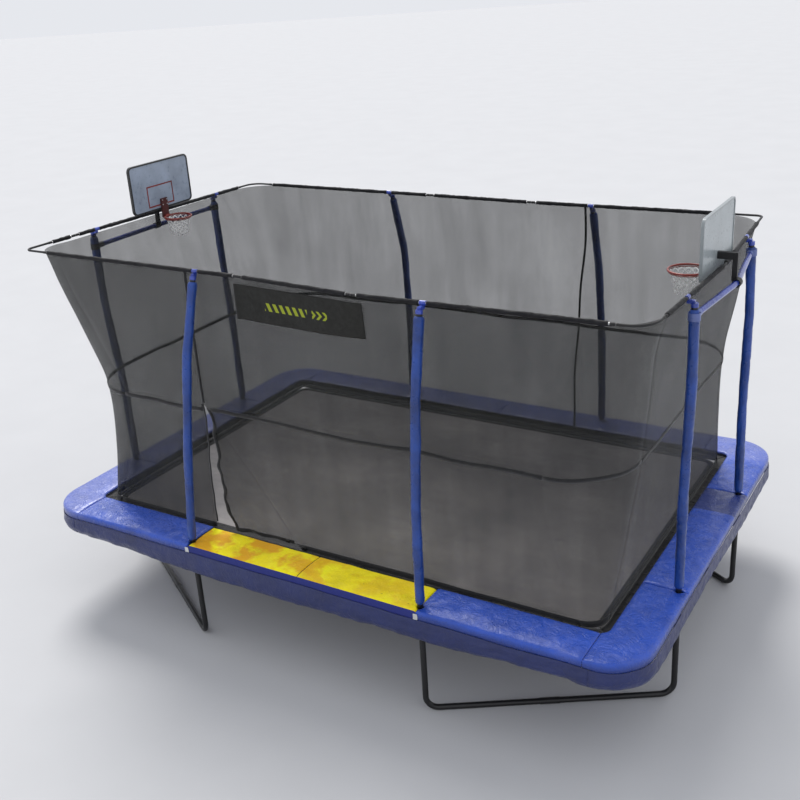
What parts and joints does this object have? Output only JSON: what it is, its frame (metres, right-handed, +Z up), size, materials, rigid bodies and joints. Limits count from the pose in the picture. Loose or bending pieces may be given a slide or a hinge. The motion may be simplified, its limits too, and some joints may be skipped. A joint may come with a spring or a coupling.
{
  "type": "trampoline",
  "caption": "Rectangular garden trampoline with curved foam-sleeved poles, a net enclosure with a zipped door, a padded spring cover and a backboard with hoop over each short end",
  "frame": {"origin": "on the floor under the middle of the trampoline", "axes": "+X along the long side to the right as seen from the entrance, +Y from the entrance side to the back, +Z up"},
  "size_m": [4.8529, 3.299, 3.202],
  "materials": {
    "frame_steel": "satin black",
    "plated_steel": "zinc plated",
    "mat_cloth": "woven",
    "webbing": "woven",
    "net_mesh": "open mesh",
    "pad_blue": "coated, glossy",
    "pad_yellow": "coated, glossy",
    "skirt_navy": "coated, satin",
    "foam_blue": "coated foam, glossy",
    "plastic_black": "moulded",
    "rod_light": "satin",
    "cross_blue": "gloss",
    "bracket_grey": "satin",
    "board_grey": "gloss sheet",
    "hoop_red": "gloss",
    "hoop_cord": "open cord mesh",
    "banner_cloth": "printed cloth",
    "zip_nylon": "moulded"
  },
  "bodies": {
    "frame": {"backboard_panels": "board_grey", "backboard_posts": "plastic_black", "backboard_trims": "plastic_black", "banner": "banner_cloth", "corner_rail_bends": "frame_steel", "cross_tube_clamps": "bracket_grey", "cross_tubes": "cross_blue", "door_clip_net_half": "plastic_black", "door_fixed_edge": "webbing", "door_zip_tape": "webbing", "end_rail_middles": "frame_steel", "floor_tube_halves": "frame_steel", "floor_tube_sleeves": "frame_steel", "hoop_mount_bolts": "plated_steel", "hoop_mounts": "hoop_red", "hoop_nets": "hoop_cord", "hoops": "hoop_red", "leg_uprights": "frame_steel", "long_rail_middles": "frame_steel", "net_back": "net_mesh", "net_back_seam": "webbing", "net_bottom_hem": "webbing", "net_corners": "net_mesh", "net_ends": "net_mesh", "net_front": "net_mesh", "net_mid_band": "webbing", "net_top_sleeves": "webbing", "pad_back_left": "pad_blue", "pad_back_right": "pad_blue", "pad_corner_sections": "pad_blue", "pad_entrance": "pad_yellow", "pad_front_left": "pad_blue", "pad_front_right": "pad_blue", "pad_left": "pad_blue", "pad_right": "pad_blue", "pole_foam_sleeves": "foam_blue", "pole_spigots": "plated_steel", "pole_top_caps": "plastic_black", "pole_tubes_lower": "frame_steel", "pole_tubes_upper": "frame_steel", "rail_joint_sockets": "frame_steel", "rail_outers": "frame_steel", "rail_splices": "frame_steel", "ring_corner_rods": "rod_light", "ring_rods": "rod_light", "ring_splices": "rod_light", "skirt_corners": "skirt_navy", "skirt_long_sides": "skirt_navy", "skirt_short_sides": "skirt_navy", "socket_screws": "plated_steel", "springs": "plated_steel"},
    "mat": {"jumping_mat": "mat_cloth", "mat_edge_webbing": "webbing", "mat_wire_rings": "plated_steel"},
    "door_flap": {"door_flap_net": "net_mesh", "door_flap_bindings": "webbing", "door_clip_flap_half": "plastic_black"},
    "zip_slider": {"zip_slider": "zip_nylon", "zip_pull": "zip_nylon"}
  },
  "joints": [
    {"name": "mat_bounce", "type": "slide", "parent": "frame", "child": "mat", "axis": [0, 0, 1], "range_m": [-0.2, 0], "stiffness_N_per_m": 6000, "springref_m": 0.012, "deforming": ["springs"]},
    {"name": "door_flap_fold", "type": "hinge", "parent": "frame", "child": "door_flap", "pos_m": [-0.91, -1.306, 1.786], "axis": [0.5912, 0, -0.8066], "range_deg": [-55, 55]},
    {"name": "zip_slide", "type": "slide", "parent": "frame", "child": "zip_slider", "axis": [0, 0, 1], "range_m": [0, 0.68]}
  ]
}
